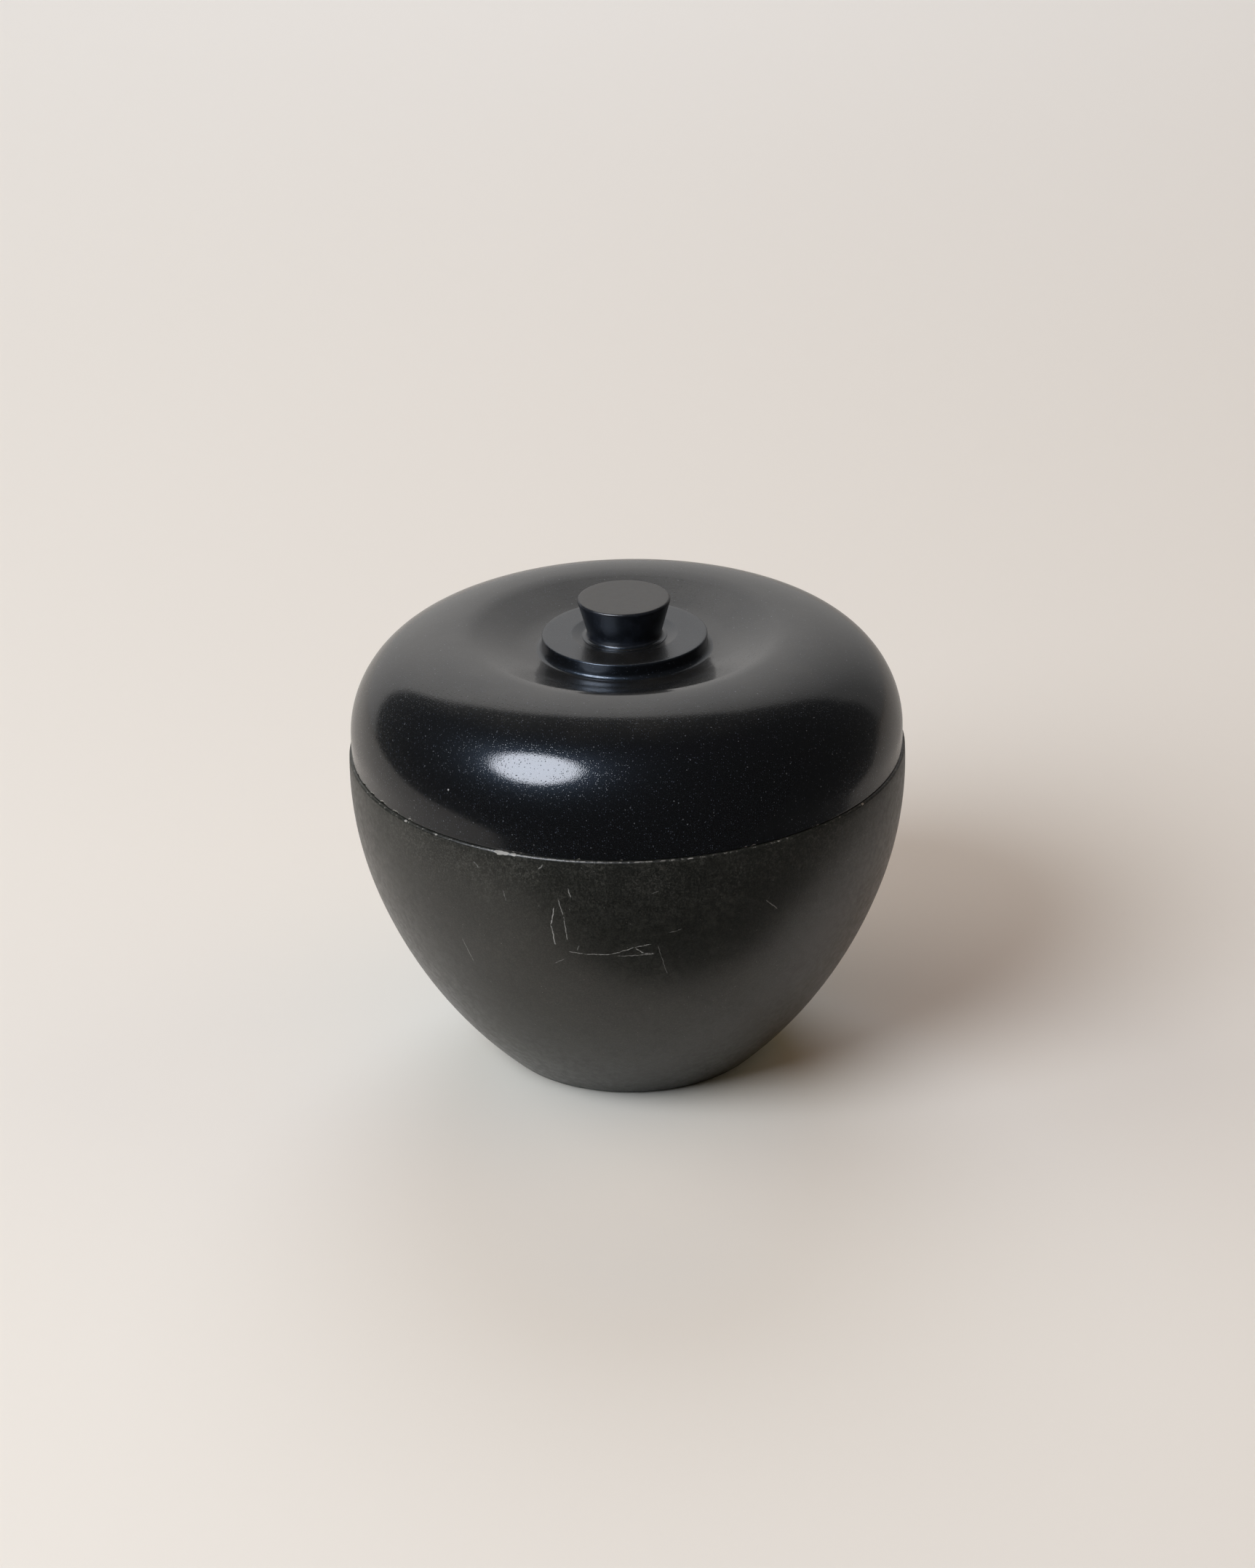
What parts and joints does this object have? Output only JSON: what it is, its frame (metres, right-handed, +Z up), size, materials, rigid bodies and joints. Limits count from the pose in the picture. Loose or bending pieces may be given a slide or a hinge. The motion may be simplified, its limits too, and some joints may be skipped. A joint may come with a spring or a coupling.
{
  "type": "go stone bowl",
  "caption": "Round tapering bowl for go stones with a domed lift-off lid, a raised centre disc and a flared knob.",
  "frame": {"origin": "centre of the face the bowl stands on", "axes": "+Z up through the knob, along the bowl's axis of revolution; X and Y are free, because the bowl is round"},
  "size_m": [0.1206, 0.1206, 0.1048],
  "materials": {
    "bowl_plastic": "worn satin, scratched",
    "lid_plastic": "semi-gloss with fine orange peel",
    "knob_plastic": "semi-gloss, rim worn by handling",
    "insert_brass": "machined",
    "washer_steel": "zinc plated",
    "screw_steel": "zinc plated"
  },
  "bodies": {
    "bowl": {"bowl": "bowl_plastic"},
    "lid_carrier": {"knob_washer": "washer_steel"},
    "lid": {"lid": "lid_plastic", "knob": "knob_plastic", "knob_insert": "insert_brass", "knob_screw": "screw_steel"}
  },
  "joints": [
    {"name": "lid_lift", "type": "slide", "parent": "bowl", "child": "lid_carrier", "axis": [0, 0, 1], "range_m": [0, 0.11]},
    {"name": "lid_turn", "type": "hinge", "parent": "lid_carrier", "child": "lid", "pos_m": [0, 0, 0.093], "axis": [0, 0, 1], "continuous": true}
  ]
}
